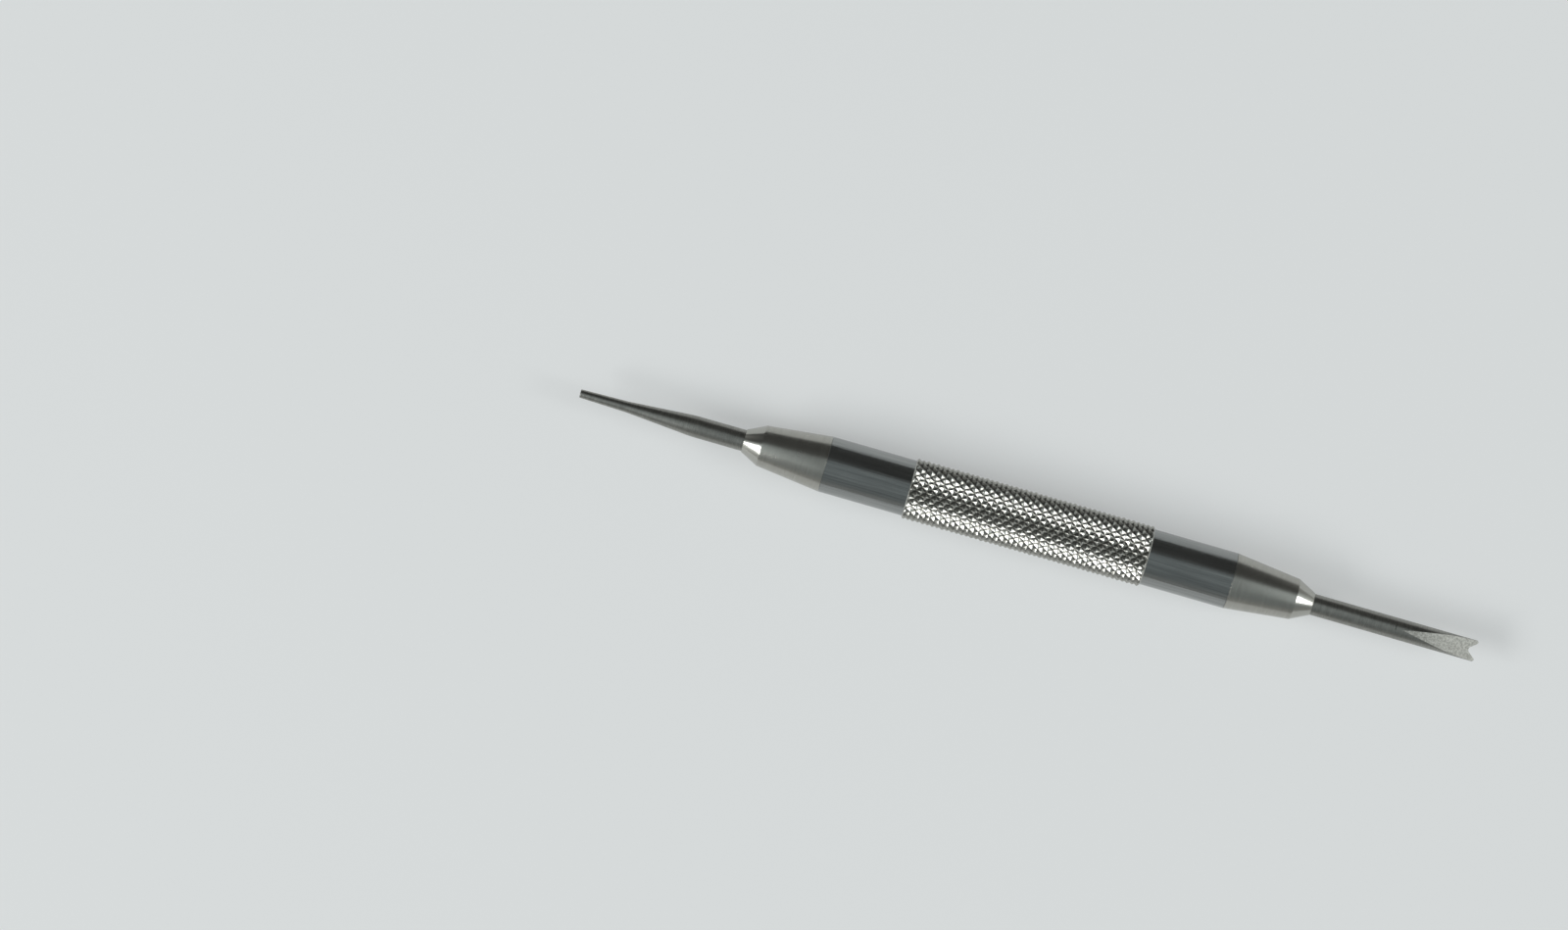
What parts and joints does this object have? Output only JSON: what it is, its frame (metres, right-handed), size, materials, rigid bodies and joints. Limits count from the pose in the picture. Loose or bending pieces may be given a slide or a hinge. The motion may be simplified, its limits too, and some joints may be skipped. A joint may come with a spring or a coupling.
{
  "type": "spring bar tool",
  "caption": "Slim steel bench tool with a knurled grip, a screw-on nose at each end, a forked tip at one end and a plain pin tip at the other.",
  "frame": {"origin": "middle of the tool's length, on its axis", "axes": "+X along the axis towards the fork, +Z out of the fork's upper ground flat, +Y across the fork"},
  "size_m": [0.0816, 0.0054, 0.0054],
  "materials": {
    "barrel_steel": "satin turned, with a bright cut knurl",
    "nose_steel": "turned satin taper and polished cone",
    "tip_steel": "hardened, matte drawn rod with ground flats"
  },
  "bodies": {
    "grip": {"knurled_grip": "barrel_steel"},
    "fork_tip": {"fork_tip": "tip_steel"},
    "fork_nose": {"fork_nose": "nose_steel"},
    "pin_tip": {"pin_tip": "tip_steel"},
    "pin_nose": {"pin_nose": "nose_steel"}
  },
  "joints": [
    {"name": "fork_tip_draw", "type": "slide", "parent": "grip", "child": "fork_tip", "axis": [1, 0, 0], "range_m": [0, 0.0045]},
    {"name": "fork_nose_turn", "type": "hinge", "parent": "fork_tip", "child": "fork_nose", "pos_m": [0.01845, 0, 0], "axis": [1, 0, 0], "range_deg": [0, 3240]},
    {"name": "pin_tip_draw", "type": "slide", "parent": "grip", "child": "pin_tip", "axis": [-1, 0, 0], "range_m": [0, 0.0045]},
    {"name": "pin_nose_turn", "type": "hinge", "parent": "pin_tip", "child": "pin_nose", "pos_m": [-0.01845, 0, 0], "axis": [-1, 0, 0], "range_deg": [0, 3240]}
  ],
  "couplings": [
    {"joint": "fork_nose_turn", "follows": "fork_tip_draw", "rad_per_m": 12566},
    {"joint": "pin_nose_turn", "follows": "pin_tip_draw", "rad_per_m": 12566}
  ]
}
